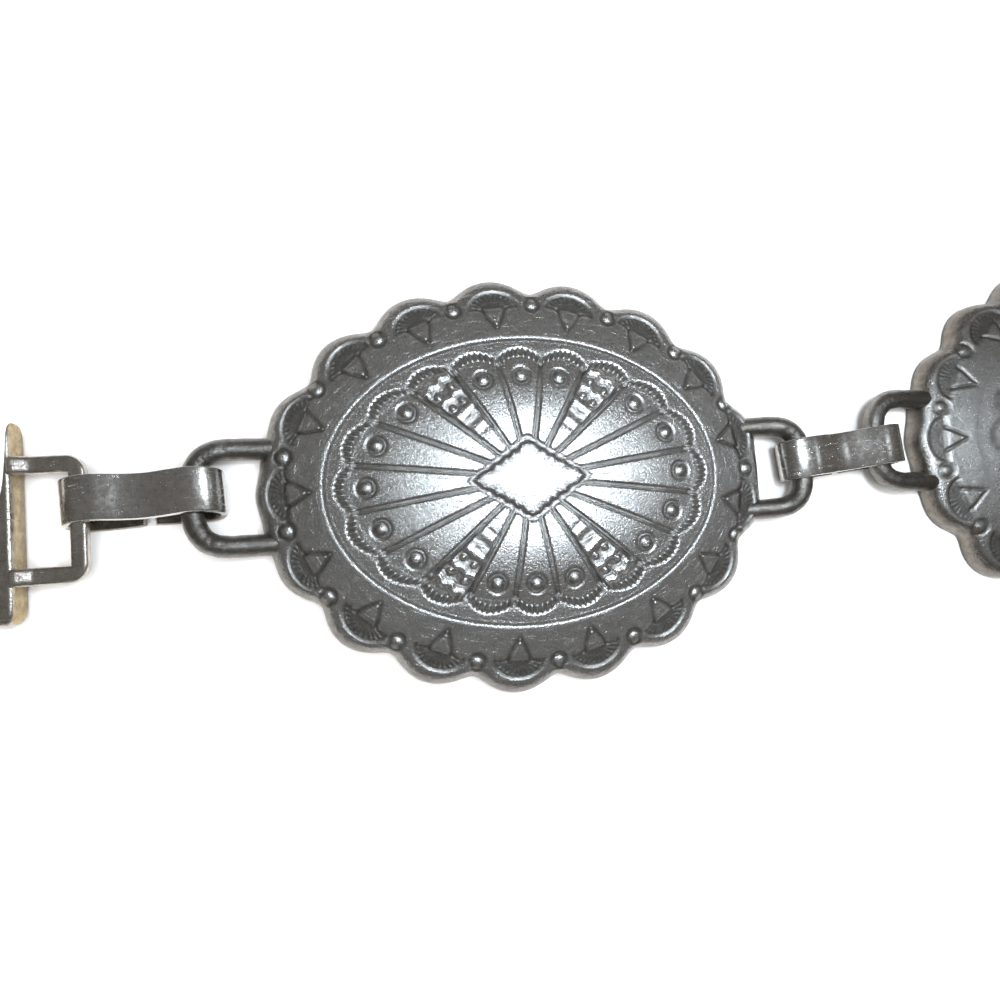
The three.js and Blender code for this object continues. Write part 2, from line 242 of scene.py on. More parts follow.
def make_piece(name, parts, material, node):
    """One object from closed grids, each (points in mm, quads, triangles, attributes). Points marked
    as seam end a front that another piece carries on, so their ring is sharp."""
    grids = [p[0].reshape(-1, 3) for p in parts]
    points = np.concatenate(grids)
    offsets = np.cumsum([0] + [len(grid) for grid in grids[:-1]])
    quads = np.concatenate([p[1] + o for p, o in zip(parts, offsets)])
    triangles = np.concatenate([p[2] + o for p, o in zip(parts, offsets)])
    mesh = bpy.data.meshes.new(name)
    mesh.vertices.add(len(points))
    mesh.vertices.foreach_set("co", (points * MM).astype(np.float32).ravel())
    corners = join(quads.ravel(), triangles.ravel())
    sizes = join(np.full(len(quads), 4), np.full(len(triangles), 3))
    mesh.loops.add(len(corners))
    mesh.loops.foreach_set("vertex_index", corners.astype(np.int32))
    mesh.polygons.add(len(sizes))
    starts = join([0], np.cumsum(sizes)[:-1])
    mesh.polygons.foreach_set("loop_start", starts.astype(np.int32))
    mesh.polygons.foreach_set("loop_total", sizes.astype(np.int32))
    mesh.polygons.foreach_set("use_smooth", np.ones(len(sizes), bool))
    mesh.update(calc_edges=True)

    def gathered(key, otherwise):
        values = [np.broadcast_to(p[3].get(key, otherwise), p[0].shape[:-1]) for p in parts]
        return np.concatenate([value.ravel() for value in values])

    # The first attribute darkens patina in recesses and paints shade on undersides; the second paints a
    # brown reflection and shade on sides that face down, and the loops' brownish tone.
    for key in ("patina", "warm"):
        layer = mesh.attributes.new(key, "FLOAT", "POINT")
        layer.data.foreach_set("value", gathered(key, 0.0).astype(np.float32))
    seam = gathered("seam", False)
    ends = np.empty(len(mesh.edges) * 2, np.int32)
    mesh.edges.foreach_get("vertices", ends)
    sharp = mesh.attributes.new("sharp_edge", "BOOLEAN", "EDGE")
    sharp.data.foreach_set("value", seam[ends].reshape(-1, 2).all(-1))
    flat = np.concatenate([p[3].get("flat", grid[:, :2]).reshape(-1, 2) for p, grid in zip(parts, grids)])
    uv = mesh.uv_layers.new(name="Surface")
    uv.data.foreach_set("uv", (flat[corners] * 0.1).astype(np.float32).ravel())
    mesh.validate()
    mesh.materials.append(material)
    piece = bpy.data.objects.new(name, mesh)
    bpy.context.collection.objects.link(piece)
    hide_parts(node)
    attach(piece, "root")
    return piece


def placed(points, centre, degrees, height=0.0):
    """Local points in millimetres, turned about Z and moved to their place."""
    out = points.copy()
    out[..., :2] = points[..., :2] @ turn(degrees).T + centre
    out[..., 2] += height
    return out


# The concho's chased front, as heights over its back plane.

LOBES = 17
PETALS = 20
SPREAD = 0.036
RATIO = 0.84
RIM = np.array([19.3, 13.95])
RIM_LINE = 0.07
BORDER = 6.3
BORDER_SLOPE = 0.25
ROLL = 1.55
ROLL_POWER = 2.8
NOTCH_BEADS = np.array([23.05, 17.4])
CREST = 3.6
SLOPE = 0.23
CROWN = 5.28
# From the rim inwards to the scallops and to the petals' beads, and the boss's half lengths.
SCALLOP = 1.12
PETAL_BEADS = 4.05
BOSS = (5.75, 3.9)


def smooth(low, high, value):
    """Smooth step from 0 at low to 1 at high."""
    t = np.clip((value - low) / (high - low), 0, 1)
    return t * t * (3 - 2 * t)


def ramp(low, high, value):
    """Straight rise from 0 at low to 1 at high: an even slope, which is lit evenly."""
    return np.clip((value - low) / (high - low), 0, 1)


def bump(value, half_width):
    """A rounded ridge: a bell that has fallen to a third at its half width."""
    return np.exp(-((value / half_width) ** 2))


def dome(distance, radius, height):
    """A bead: a paraboloid that is nothing at its radius and goes on down outside it."""
    return height * (1 - (distance / radius) ** 2)


def oval_reach(axes, direction):
    """Distance from the centre to an ellipse along a direction."""
    return 1 / np.hypot(np.cos(direction) / axes[0], np.sin(direction) / axes[1])


def lobe_angle(lobe):
    """Ellipse angle of a lobe's middle; halves are the notches. The first lobe is on the left end."""
    even = np.pi + TAU * lobe / LOBES
    return even + SPREAD * np.sin(2 * even)


def lobe_place(angle):
    """The lobe number, with its fraction, of an ellipse angle: the inverse of lobe_angle."""
    even = angle - SPREAD * np.sin(2 * angle)
    even = angle - SPREAD * np.sin(2 * even)
    even = angle - SPREAD * np.sin(2 * even)
    return (even - np.pi) / TAU * LOBES


def on_oval(axes, angle):
    """Points of an ellipse at its own angles."""
    return pair(axes[0] * np.cos(angle), axes[1] * np.sin(angle))


def uneven(xy, seed, wavelength):
    """A quiet unevenness between -1 and 1: a sum of waves in random directions."""
    waves = 14
    rng = np.random.default_rng(seed)
    heading = rng.uniform(0, TAU, waves)
    phase = rng.uniform(0, TAU, waves)
    length = wavelength * rng.uniform(0.6, 1.7, waves)
    total = np.zeros(xy.shape[:-1])
    for h, p, w in zip(heading, phase, length):
        total += np.sin(TAU * (xy[..., 0] * math.cos(h) + xy[..., 1] * math.sin(h)) / w + p)
    return total / waves**0.5 / 1.6


def border_height(sizes, xy, angle, outward, width, fine):
    """Border: a slope that falls outwards and rolls over at the edge. Cut into it are, for each lobe,
    a triangle with its point inwards and a fan of ticks with a beaded edge, and for each notch a
    round well with a bead. Returns heights, and recesses with painted shade on the rolled edge."""
    lobe = lobe_place(angle)
    axis = lobe_angle(np.round(lobe))
    foot = on_oval(RIM, axis)
    tip = on_oval((sizes.half_length, sizes.half_width), axis)
    along = (tip - foot) / np.linalg.norm(tip - foot, axis=-1, keepdims=True)
    offset = xy - foot
    h = (offset * along).sum(-1)
    side = offset[..., 1] * along[..., 0] - offset[..., 0] * along[..., 1]
    l = np.abs(side)

    inset = width - outward
    roll = np.clip(1 - (np.clip(1 - inset / ROLL, 0, 1)) ** ROLL_POWER, 0, 1) ** (1 / ROLL_POWER)
    height = CREST - BORDER_SLOPE * outward

    # Triangle: two cut lines, a faint base line and two dots at its point.
    slope = 0.56
    line = np.abs(l - (h - 0.95) * slope) / math.hypot(1, slope)
    window = smooth(0.7, 1.1, h) * smooth(3.5, 3.0, h)
    cut = bump(line, 0.18) * window
    inside = smooth(0.0, 0.3, (h - 0.95) * slope - l) * smooth(3.3, 3.1, h)
    base_line = bump(h - 3.12 + 0.12 * (l / 1.3) ** 2, 0.1) * smooth(1.5, 1.2, l)
    dots = np.maximum(dome(np.hypot(h - 1.2, l), 0.2, 0.11), dome(np.hypot(h - 1.62, l - 0.1), 0.15, 0.08))
    dots = dots.clip(0)
    height = height - 0.13 * cut + 0.03 * inside - 0.04 * base_line + dots

    # Fan: a half disc sunk below the border, with thin ticks and a beaded outer edge.
    fan_h = (h - 3.05) / 1.92
    fan = np.hypot(fan_h, l / 2.5)
    opening = smooth(-0.16, 0.10, fan_h) * (1 - 0.8 * inside)
    sunk = ramp(1.08, 0.92, fan) * opening
    bearing = np.arctan2(side / 2.5, np.maximum(fan_h, 0.02))
    tick = np.abs((bearing / (np.pi / 12.5) + 0.5) % 1 - 0.5)
    ticks = bump(tick, 0.2) * smooth(0.42, 0.55, fan) * smooth(0.92, 0.8, fan) * fine
    beads = bump(tick, 0.3) * bump(fan - 0.86, 0.04) * fine
    height = height + sunk * (0.05 * ticks + 0.07 * beads - 0.2)

    # Notch bead in its round well.
    gap = np.floor(lobe) + 0.5
    seat = on_oval(NOTCH_BEADS, lobe_angle(gap))
    away = np.linalg.norm(xy - seat, axis=-1)
    well = ramp(1.0, 0.76, away)
    level = CREST - BORDER_SLOPE * 3.25 - 0.08
    sloped = height - 0.13 * well
    height = np.where(away < 0.8, np.maximum(sloped, level + dome(away, 0.5, 0.13) - 0.09), sloped)

    # Rim line: its inner flank is an even slope that catches the light.
    height = height - RIM_LINE * ramp(0.065, -0.065, outward)

    recess = 0.22 + 0.9 * cut + 0.85 * well * smooth(0.35, 0.6, away)
    recess = recess + sunk * (0.95 - 0.35 * ticks - 0.6 * beads)
    # The 0.35 towards the outer edge is painted shade on the rolled edge; the rest darkens the cuts, fans,
    # wells and base line.
    recess = recess + 0.3 * base_line + 0.35 * smooth(0.7, 0.1, inset)
    return height * roll, np.clip(recess, 0, 1)


def boss_reach(direction):
    """Distance from the centre to the diamond boss's edge along a direction."""
    return 1 / (np.abs(np.cos(direction)) / BOSS[0] + np.abs(np.sin(direction)) / BOSS[1])


def petal_dome(r, inner, outer):
    """Height of the petals' crown: a slight rise from the boss, then a hyperbola's bend into a straight
    fall, steepened by a cube, to the fringe's floor, which itself slopes outwards."""
    span = outer - 0.85 - inner
    share = np.clip((r - inner) / span, 0, 1.3)
    bend = share - 2.6 / span
    fall = CROWN + 0.3 * share - 0.4 * (bend + np.sqrt(bend**2 + 0.012)) / (1 - 2.6 / span) - share**3
    floor = CREST - 0.2 + SLOPE * np.clip(outer + SCALLOP - r, 0, 2.4)
    return (fall + floor + np.sqrt((fall - floor) ** 2 + 0.01)) / 2


def field_height(xy, fine):
    """Inside the rim: a sloping channel, then twenty petals that rise to a diamond boss. Each petal
    ends in a scallop with ticks and carries a bead in a round well, and four carry steps instead."""
    x, y = xy[..., 0], xy[..., 1]
    r = np.hypot(x, y)
    direction = np.arctan2(y, x)
    even = np.arctan2(y, RATIO * x)
    step = TAU / PETALS
    number = np.round(even / step)
    s = (even - number * step) / (step / 2)
    axis = np.arctan2(RATIO * np.sin(number * step), np.cos(number * step))
    aside = y * np.cos(axis) - x * np.sin(axis)
    forward = x * np.cos(axis) + y * np.sin(axis)
    edge_even = (number + np.where(s >= 0, 0.5, -0.5)) * step
    edge = np.arctan2(RATIO * np.sin(edge_even), np.cos(edge_even))
    to_edge = np.abs(y * np.cos(edge) - x * np.sin(edge))
    banded = (number % 10 == 3) | (number % 10 == 7)

    crest = oval_reach(RIM - SCALLOP, direction)
    outer = crest - (2.66 - np.sqrt(7.08 - 4.9 * np.clip(s, -1, 1) ** 2))
    inner = boss_reach(direction) * (1.0 + 0.06 * (np.abs(s) - 0.4))
    depth = outer - r

    # Outside the scallops: the channel, with a tongue that dips between two petals.
    ridge = oval_reach(RIM, direction) - r
    channel = CREST - RIM_LINE + SLOPE * ridge - 0.1 * ramp(0.3, 1.35, crest - r)
    channel = channel + 0.022 * ramp(0.5, 0.43, ridge) - 0.022 * ramp(0.38, 0.3, ridge)
    channel = channel + RIM_LINE * ramp(0.065, -0.065, ridge)

    # Petals: crown, grooves between them with a thin raised thread, and the boss.
    petal = petal_dome(r, inner, crest)
    to_boss = (r - inner) * 0.8
    groove_at = np.where(r > inner, np.minimum(to_edge, np.abs(to_boss)), np.abs(to_boss))
    groove = smooth(0.38, 0.13, groove_at) * smooth(0.3, 0.8, depth)
    thread = bump(groove_at, 0.06) * (0.8 + 0.3 * np.cos(TAU * r / 0.6) * smooth(9.5, 6.5, r))
    thread = thread * smooth(0.6, 1.3, depth)
    petal = petal - 0.16 * groove + 0.1 * thread
    part = np.clip(r / inner, 0, 1)
    boss = CROWN - 0.01 + 0.29 * (1 - part**4) - 0.16 * groove + 0.1 * thread
    boss = boss + 0.014 * uneven(xy, 21, 0.42) * smooth(0.66, 0.8, part) * fine
    petal = np.where(r < inner, boss, petal)

    # Fringe: thin ticks that climb to the channel's level at the scallop.
    tick = np.abs((s * 4.5 + 0.5) % 1 - 0.5)
    ticks = bump(tick, 0.18) * smooth(0.95, 0.7, depth) * fine
    petal = petal + 0.11 * ticks * smooth(-0.05, 0.1, depth)
    sunk = smooth(0.0, 0.25, depth) * smooth(1.15, 0.7, depth)

    # Bead in its well, standing level on the sloping petal.
    seat = oval_reach(RIM - PETAL_BEADS, axis)
    away = np.hypot(forward - seat, aside)
    well = ramp(1.12, 0.9, away) * ~banded
    level = petal_dome(seat, boss_reach(axis), oval_reach(RIM - SCALLOP, axis))
    bead = level - 0.14 + dome(away, 0.6, 0.22)
    sloped = petal - 0.13 * well + 0.05 * bump(away - 0.76, 0.07) * well
    petal = np.where((away < 0.9) & ~banded, np.maximum(sloped, bead), sloped)

    # Steps and pairs of beads on the four marked petals, whose bed lies a little lower.
    steps = np.zeros_like(r)
    across = smooth(0.3, 0.5, to_edge)
    for at, half_width, tall, wave in STEPS:
        here = forward + wave * np.cos(TAU * aside / 1.3)
        end = at + half_width
        back = end + max(3.0 * half_width, 0.3)
        steps += tall * ramp(at - half_width, end, here) * smooth(back, end, here)
    for at, out, radius in STEP_BEADS:
        steps = np.maximum(steps, dome(np.hypot(forward - at, np.abs(aside) - out), radius, 0.24))
    petal = petal + (steps * across - 0.1 * smooth(5.6, 6.2, forward) * smooth(12.9, 12.5, forward)) * banded

    raised = ramp(-0.14, 0.14, depth)
    height = channel + (petal - channel) * raised
    recess = groove * (0.62 - 0.45 * bump(groove_at, 0.08))
    recess = recess + well * smooth(0.18, 0.5, away) * (0.85 - 0.6 * bump(away - 0.76, 0.07))
    recess = recess + sunk * (0.85 - 0.85 * ticks)
    bed = banded * smooth(6.2, 6.6, forward) * smooth(12.9, 12.5, forward)
    recess = recess * raised + 0.45 * bed * ramp(0.12, 0.02, steps) + 0.5 * bump(ridge - 0.25, 0.08)
    return height, np.clip(recess, 0, 1)


def back_height(outward):
    """The hollow back: flat at the lip, then rising to a shallow vault."""
    return np.interp(outward, [-20, -11, -0.7, BORDER - 1.6, BORDER], [4.2, 3.95, 2.15, 0.0, 0.0])


def lobe_inset(sizes, angle):
    """How far the outline lies inside the oval: a rounded fall to the notch on both sides of a lobe.
    The notches where the loops' arms run into the border are shallower."""
    place = 2 * np.abs(lobe_place(angle) - np.round(lobe_place(angle)))
    lobe = np.abs(lobe_place(angle))
    filled = 1 - 0.75 * bump(lobe - LOBES / 2, 0.35) - 0.85 * bump(lobe - 0.5, 0.35)
    return sizes.notch * (place**2 - 0.25 * place**8) / 0.75 * filled


def border_rows(sizes, angle, rows):
    """Border grid on straight lines from the rim to the outline: plan, distance outward and width."""
    rim = on_oval(RIM, angle)
    full = on_oval((sizes.half_length, sizes.half_width), angle)
    span = np.linalg.norm(full - rim, axis=-1)
    width = span - lobe_inset(sizes, angle)
    outward = rows[:, None] * width[None, :]
    xy = rim + (full - rim) / span[:, None] * outward[..., None]
    return xy, outward, width


def front_share(count):
    """Shares of the border's width, even at first and closer at the edge, where it rolls over."""
    even = np.linspace(0, 0.74, int(count * 0.66), endpoint=False)
    rolled = 0.74 + 0.26 * np.sin(np.linspace(0, np.pi / 2, count - len(even)))
    return join(even, rolled)


def border_back(sizes, angle, shares):
    """The border's hollow back from near the edge inwards: plan, height and distance outward."""
    xy, outward, width = border_rows(sizes, angle, shares)
    height = back_height(outward + BORDER - width) * smooth(1.0, 0.8, shares)[:, None]
    return xy, height, outward


def border_part(sizes, around, across, fine):
    """The border as a closed ring: front, rolled edge, lip and hollow back."""
    angle = TAU * np.arange(around) / around
    xy, outward, width = border_rows(sizes, angle, front_share(across))
    height, recess = border_height(sizes, xy, angle[None, :], outward, width[None, :], fine)
    worn = 0.02 * uneven(xy, 5, 3.5) + 0.007 * uneven(xy, 6, 1.1)
    height = height + worn * smooth(0, 0.6, outward) * smooth(0, 1, width - outward)
    front = raised(xy, height)
    back_xy, back_z, back_out = border_back(sizes, angle, np.array([0.96, 0.86, 0.72, 0.5, 0.25, 0.0]))
    back = raised(back_xy, back_z)
    points = join(front, back)
    quads, triangles = grid_faces(len(points), around, closed=True)
    patina = join(recess, np.full(back_z.shape, 0.8))
    inset = join(width - outward, np.zeros(back_z.shape))
    # A painted brown reflection and painted shade on the rolled edge.
    warm = smooth(1.3, 0.2, inset) * 0.8
    arc = np.broadcast_to(angle * 20.0, patina.shape)
    flat = pair(arc, join(outward, back_out))
    seam = np.zeros(patina.shape, bool)
    seam[0] = True
    return points, quads, triangles, {"patina": patina, "warm": warm, "flat": flat, "seam": seam}


def field_directions(around):
    """Directions from the centre, closer together where the petals are narrower."""
    even = TAU * (np.arange(around) + 0.5) / around
    direction = np.arctan2(RATIO * np.sin(even), np.cos(even))
    return pair(np.cos(direction), np.sin(direction)), oval_reach(RIM, direction)


def capped(points, vault, fine):
    """Points of a disc, with the middles of its front and of its vault after them."""
    top = field_height(np.zeros((1, 2)), fine)[0][0]
    return join(points.reshape(-1, 3), [[0, 0, top], [0, 0, float(vault[-1].mean())]])


def field_disc(around, across, reach_to, fine):
    """The field from the centre out to a share of the rim, closed by the vault behind it."""
    ray, reach = field_directions(around)
    share = reach_to * np.linspace(0, 1, across + 1)[1:] ** 0.85
    xy = (share[:, None] * reach)[..., None] * ray
    height, recess = field_height(xy, fine)
    front = raised(xy, height)
    back_share = reach_to * np.array([1.0, 0.8, 0.5, 0.2])
    back_xy = (back_share[:, None] * reach)[..., None] * ray
    back_z = back_height((back_share[:, None] - 1) * reach)
    back = raised(back_xy, back_z)
    points = capped(join(front, back), back_z, fine)
    quads, triangles = grid_faces(len(front) + len(back), around, caps=True)
    patina = join(recess.ravel(), np.full(back_z.size, 0.8), [0, 0.8])
    seam = np.zeros(len(points), bool)
    seam[(across - 1) * around : across * around] = True
    return points, quads, triangles, {"patina": patina, "seam": seam}


def field_ring(around, across, reach_from, fine):
    """The field from a share of the rim out to the rim, closed by the vault behind it."""
    ray, reach = field_directions(around)
    share = join(np.linspace(reach_from, 1, across), np.linspace(1, reach_from, 3))
    xy = (share[:, None] * reach)[..., None] * ray
    height, recess = field_height(xy[:across], fine)
    back_z = back_height((share[across:, None] - 1) * reach)
    points = raised(xy, join(height, back_z))
    quads, triangles = grid_faces(len(points), around, closed=True)
    patina = join(recess, np.full(back_z.shape, 0.8))
    seam = np.zeros(patina.shape, bool)
    seam[[0, across - 1]] = True
    return points, quads, triangles, {"patina": patina, "seam": seam}


def whole_part(sizes, around, inside, outside):
    """A concho in one closed surface, for those that are seen from farther off."""
    angle = TAU * np.arange(around) / around
    rim = on_oval(RIM, angle)
    share = np.linspace(0, 1, inside + 1)[1:-1] ** 0.8
    inner_xy = share[:, None, None] * rim
    inner_z, inner_recess = field_height(inner_xy, 0.0)
    xy, outward, width = border_rows(sizes, angle, front_share(outside))
    outer_z, outer_recess = border_height(sizes, xy, angle[None, :], outward, width[None, :], 0.0)
    back_xy, back_z, _ = border_back(sizes, angle, np.array([0.9, 0.74, 0.4, 0.0]))
    vault = np.array([0.7, 0.4, 0.15])
    vault_xy = vault[:, None, None] * rim
    vault_z = back_height((vault[:, None] - 1) * np.linalg.norm(rim, axis=-1))
    plan = join(inner_xy, xy, back_xy, vault_xy)
    z = join(inner_z, outer_z, back_z, vault_z)
    points = capped(raised(plan, z), vault_z, 0.0)
    quads, triangles = grid_faces(len(plan), around, caps=True)
    hidden = np.full(back_z.size + vault_z.size, 0.8)
    patina = join(inner_recess.ravel(), outer_recess.ravel(), hidden, [0, 0.8])
    # A painted brown reflection and painted shade on the rolled edge.
    edge = 0.8 * smooth(1.3, 0.2, width - outward).ravel()
    warm = join(np.zeros(inner_z.size), edge, hidden * 0, [0, 0])
    return points, quads, triangles, {"patina": patina, "warm": warm}


def heading(path):
    """Unit directions along a path."""
    ahead = np.gradient(path, axis=0)
    return ahead / np.linalg.norm(ahead, axis=-1, keepdims=True)


def swept(path, section, aside, upward):
    """A closed section carried along a path: each section point is a share of the two side vectors."""
    ring = section[None, :, 0, None] * aside[:, None, :] + section[None, :, 1, None] * upward[:, None, :]
    return path[:, None, :] + ring


def loop_part(sizes, loops, side, around, along):
    """A cast wire loop: a round section along two arms and a superellipse end, rising from under
    the border to the height of the bar, with the unevenness of a casting."""
    radius = loops.wire / 2
    left, right = (loops.width_left, loops.reach_left), (loops.width_right, loops.reach_right)
    width, reach = left if side < 0 else right
    span = width / 2 - radius
    far = sizes.half_length + reach - radius
    start = sizes.half_length - 3.2
    angle = np.linspace(-np.pi / 2, np.pi / 2, along)
    power = 2 / SQUARENESS
    x = far - NOSE + NOSE * np.cos(angle).clip(0) ** power
    y = span * np.sign(np.sin(angle)) * np.abs(np.sin(angle)) ** power
    arm = np.linspace(start, far - NOSE, 7)[:-1]
    x = join(arm, x, arm[::-1])
    y = join(np.full(6, -span), y, np.full(6, span))
    climb = np.clip((x - start) / (far - NOSE / 2 - start), 0, 1)
    z = radius + 0.04 + climb * (BAR_HEIGHT - radius - 0.04)
    path = pair(side * x, side * y, z)
    ahead = heading(path)
    aside = np.cross(ahead, [0, 0, 1.0])
    aside /= np.linalg.norm(aside, axis=-1, keepdims=True)
    upward = np.cross(aside, ahead)
    angles = TAU * np.arange(around) / around
    section = radius * pair(np.cos(angles), np.sin(angles))
    points = swept(path, section, aside, upward)
    skewed = points[..., :2] + points[..., 2:] * 0.7
    rough = 1 + 0.018 * uneven(skewed, 9 + side, 2.2) + 0.022 * uneven(skewed, 12 + side, 0.55)
    points = path[:, None, :] + (points - path[:, None, :]) * rough[..., None]
    quads, triangles = grid_faces(len(path), around, caps=True)
    ends = np.stack([path[0] - 0.2 * ahead[0], path[-1] + 0.2 * ahead[-1]])
    points = join(points.reshape(-1, 3), ends)
    # Painted shade on the wire's underside and where it runs in under the border, and a painted brown
    # reflection on the underside; the 0.85 and 0.3 give the wire's dull brownish tone.
    under = smooth(0.45, -0.3, np.sin(angles))[None, :] * np.ones((len(path), 1))
    near = smooth(sizes.half_length + 1.2, sizes.half_length - 0.2, x)[:, None] * np.ones((1, around))
    patina = join(np.clip(0.85 + 0.15 * under + 0.5 * near, 0, 1).ravel(), [1, 1])
    warm = join((0.3 + 0.5 * under).ravel(), [0, 0])
    return points, quads, triangles, {"patina": patina, "warm": warm}


def curve_through(knots, count, crowding=1.0):
    """A Catmull-Rom line through knots, resampled to even steps, or to closer ones at its start."""
    padded = join(2 * knots[:1] - knots[1:2], knots, 2 * knots[-1:] - knots[-2:-1])
    t = np.linspace(0, 1, 24, endpoint=False)[None, :, None]
    a, b, c, d = padded[:-3, None], padded[1:-2, None], padded[2:-1, None], padded[3:, None]
    fine = 0.5 * (2 * b + (c - a) * t + (2 * a - 5 * b + 4 * c - d) * t**2 + (3 * b - a - 3 * c + d) * t**3)
    fine = join(fine.reshape(-1, knots.shape[1]), knots[-1:])
    run = join([0], np.cumsum(np.linalg.norm(np.diff(fine, axis=0), axis=-1)))
    even = run[-1] * np.linspace(0, 1, count) ** crowding
    return np.stack([np.interp(even, run, fine[:, k]) for k in range(knots.shape[1])], -1)


def rounded_section(half_width, half_height, corner, count):
    """A rectangle with round corners, anticlockwise, as (across, up) pairs."""
    quarter = np.linspace(0, np.pi / 2, count)
    arc = corner * pair(np.cos(quarter), np.sin(quarter))
    arc = arc + (half_width - corner, half_height - corner)
    second = arc[::-1] * (-1, 1)
    return join(arc, second, -arc, -second)


def link_part(loops, seed, lean):
    """A strip carried round a figure of eight: eyes over both bars, a waist in front and two
    rolled ends with a gap at the back. lean shifts its back aside, as in a link bent askew."""
    reach = loops.link_length / 2 - loops.strip / 2 - 0.12
    half_height = BAR_HEIGHT - 0.15 - loops.strip / 2 - 0.02
    eye = reach - half_height
    rounding = np.radians([-90, -65, -40, -15, 10, 35, 60, 90])
    wide = np.where(rounding > 0, 0.7, 0.0)
    turn_x = eye - wide + (half_height + wide) * np.cos(rounding)
    turn_z = half_height * np.sin(rounding)
    right = np.concatenate(
        [
            [[0.5, -half_height + 0.45], [1.2, -half_height + 0.18], [2.6, -half_height]],
            pair(turn_x, turn_z),
            [[2.9, half_height - 0.25], [1.9, half_height - 0.5], [0.9, half_height - 0.71]],
        ]
    )
    knots = join(right, [[0, half_height - 0.8]], right[::-1] * (-1, 1))
    line = curve_through(knots, 120)
    path = pair(line[:, 0], np.zeros(len(line)), line[:, 1])
    ahead = heading(path)
    aside = np.broadcast_to([0.0, 1.0, 0.0], path.shape)
    upward = np.cross(ahead, aside)
    section = rounded_section(loops.strip_width / 2, loops.strip / 2, 0.14, 4)
    points = swept(path, section, aside, upward)
    wave = 1 + 0.012 * uneven(pair(path[:, 0], path[:, 2]), seed, 3.0)
    points[..., 1] *= wave[:, None]
    points[..., 2] += 0.03 * uneven(points[..., :2], seed + 1, 2.6) * (points[..., 2] > 0)
    points[..., 1] -= lean * (half_height - points[..., 2])
    quads, triangles = grid_faces(len(path), len(section), caps=True)
    ends = np.stack([path[0] - 0.04 * ahead[0], path[-1] + 0.04 * ahead[-1]])
    points = join(points.reshape(-1, 3), ends)
    run = np.arange(len(path)) * np.linalg.norm(path[1] - path[0])
    flat = np.stack(np.broadcast_arrays(run[:, None], section[None, :, 0]), -1).reshape(-1, 2)
    flat = join(flat, flat[:1], flat[-1:])
    # Painted shade and a painted brown reflection on the strip's lower, rear run.
    rear = smooth(0.2, -0.6, points[:, 2])
    shading = {"patina": 0.1 + 0.4 * rear, "warm": 0.8 * rear, "flat": flat}
    return points, quads[:, ::-1], triangles[:, ::-1], shading


def rolled_about_length(points, degrees):
    """Points tilted about the X axis."""
    out = points.copy()
    out[..., 1:] = points[..., 1:] @ turn(degrees).T
    return out


PLATE_HALF = 8.8
PLATE_REACH = 8.1
HOOK_WIDTH = 4.4
HOOK_THICK = 1.7
HOOK_GAPE = 2.7
HOOK_SHANK = 4.5
HOOK_TIP = 3.6
SQUARE_HALF = 5.7
SQUARE_ARM = 1.6
SQUARE_THICK = 1.5
SQUARE_CORNER = 1.7


def plate_half(back, bar, corner, sharpness):
    """Half width of the plate at a distance behind its face: full over the bar, with a round corner,
    then a power curve down to the hook's width."""
    share = np.clip((back - bar) / (PLATE_REACH - bar), 0, 1)
    half = HOOK_WIDTH / 2 + (PLATE_HALF - HOOK_WIDTH / 2) * (1 - share) ** sharpness
    return half - corner * (1 - np.sqrt(1 - np.clip(1 - back / corner, 0, 1) ** 2))


